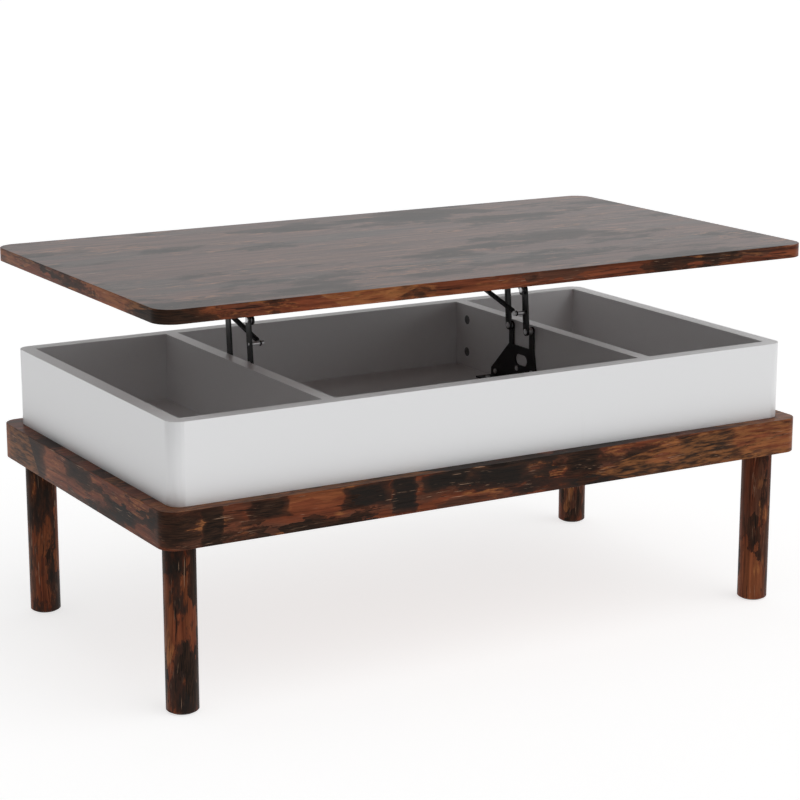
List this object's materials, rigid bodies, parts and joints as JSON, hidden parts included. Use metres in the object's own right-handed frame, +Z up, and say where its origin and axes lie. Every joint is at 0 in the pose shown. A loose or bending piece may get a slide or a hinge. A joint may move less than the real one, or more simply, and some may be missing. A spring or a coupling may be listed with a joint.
{
  "type": "lift top coffee table",
  "caption": "Coffee table on round legs whose flat top lifts straight up on two parallel-arm mechanisms over a divided storage box.",
  "frame": {"origin": "centre of the footprint on the floor", "axes": "+X along the length, -Y towards the user (front), +Z up; shown with the top raised"},
  "size_m": [1.07, 0.6, 0.567],
  "materials": {
    "rustic_leg": "satin printed foil over wood, grain upright",
    "rustic_top": "satin printed laminate, grain along the length",
    "rustic_base": "satin printed laminate, grain along the length",
    "rustic_edge": "satin printed edge band, grain along the edge",
    "raw_board": "raw particle board",
    "white_paint": "white satin paint over board",
    "black_steel": "black powder coat",
    "spring_steel": "black coated spring wire",
    "bright_zinc": "bright zinc plate",
    "cam_zinc": "dark die-cast zinc",
    "dowel_wood": "bare hardwood",
    "felt": "dark felt",
    "clear_rubber": "translucent soft plastic"
  },
  "bodies": {
    "root": {"front_left_leg": "rustic_leg", "front_right_leg": "rustic_leg", "back_left_leg": "rustic_leg", "back_right_leg": "rustic_leg", "leg_glides": "felt", "leg_bolts": "bright_zinc", "leg_inserts": "bright_zinc", "base_top_skin": "rustic_base", "base_bottom_skin": "rustic_base", "base_front_rail": "raw_board", "base_back_rail": "raw_board", "base_left_rail": "raw_board", "base_right_rail": "raw_board", "base_cross_rails": "raw_board", "base_corner_blocks": "raw_board", "base_edge_band": "rustic_edge", "box_front_panel": "white_paint", "box_back_panel": "white_paint", "box_left_panel": "white_paint", "box_right_panel": "white_paint", "box_floor_panel": "white_paint", "left_divider": "white_paint", "right_divider": "white_paint", "cam_locks": "cam_zinc", "cam_bolts": "bright_zinc", "panel_dowels": "dowel_wood", "box_fixing_screws": "bright_zinc", "left_lower_bracket": "black_steel", "right_lower_bracket": "black_steel", "lower_bracket_screws": "bright_zinc", "left_lower_rivets": "bright_zinc", "right_lower_rivets": "bright_zinc", "left_lower_spacers": "bright_zinc", "right_lower_spacers": "bright_zinc"},
    "left_front_arm": {"left_front_arm": "black_steel", "left_spring_pin": "bright_zinc"},
    "right_front_arm": {"right_front_arm": "black_steel", "right_spring_pin": "bright_zinc"},
    "left_back_arm": {"left_back_arm": "black_steel"},
    "right_back_arm": {"right_back_arm": "black_steel"},
    "left_spring": {"left_spring": "spring_steel"},
    "right_spring": {"right_spring": "spring_steel"},
    "tabletop": {"tabletop_board": "rustic_top", "tabletop_edge_band": "rustic_edge", "tabletop_bumpers": "clear_rubber", "upper_bracket_screws": "bright_zinc", "left_upper_bracket": "black_steel", "left_upper_rivets": "bright_zinc", "left_upper_spacers": "bright_zinc", "left_spring_post": "bright_zinc", "right_upper_bracket": "black_steel", "right_upper_rivets": "bright_zinc", "right_upper_spacers": "bright_zinc", "right_spring_post": "bright_zinc"}
  },
  "joints": [
    {"name": "lift", "type": "hinge", "parent": "root", "child": "left_front_arm", "pos_m": [-0.244, 0.026, 0.403], "axis": [-1, 0, 0], "range_deg": [0, 170]},
    {"name": "top_level", "type": "hinge", "parent": "left_front_arm", "child": "tabletop", "pos_m": [-0.244, 0.03184, 0.46975], "axis": [-1, 0, 0], "range_deg": [-170, 0]},
    {"name": "left_back_swing", "type": "hinge", "parent": "root", "child": "left_back_arm", "pos_m": [-0.249, 0.0845, 0.403], "axis": [-1, 0, 0], "range_deg": [0, 170]},
    {"name": "right_front_swing", "type": "hinge", "parent": "root", "child": "right_front_arm", "pos_m": [0.244, 0.026, 0.403], "axis": [-1, 0, 0], "range_deg": [0, 170]},
    {"name": "right_back_swing", "type": "hinge", "parent": "root", "child": "right_back_arm", "pos_m": [0.249, 0.0845, 0.403], "axis": [-1, 0, 0], "range_deg": [0, 170]},
    {"name": "left_spring_swing", "type": "hinge", "parent": "tabletop", "child": "left_spring", "pos_m": [-0.2265, 0.16784, 0.46975], "axis": [-1, 0, 0], "range_deg": [0, 30], "deforming": ["left_spring"]},
    {"name": "right_spring_swing", "type": "hinge", "parent": "tabletop", "child": "right_spring", "pos_m": [0.2265, 0.16784, 0.46975], "axis": [-1, 0, 0], "range_deg": [0, 30], "deforming": ["right_spring"]}
  ],
  "couplings": [
    {"joint": "top_level", "follows": "lift", "ratio": -1},
    {"joint": "left_back_swing", "follows": "lift", "ratio": 1},
    {"joint": "right_front_swing", "follows": "lift", "ratio": 1},
    {"joint": "right_back_swing", "follows": "lift", "ratio": 1},
    {"joint": "left_spring_swing", "follows": "lift", "ratio": 0.17004},
    {"joint": "right_spring_swing", "follows": "lift", "ratio": 0.17004}
  ]
}
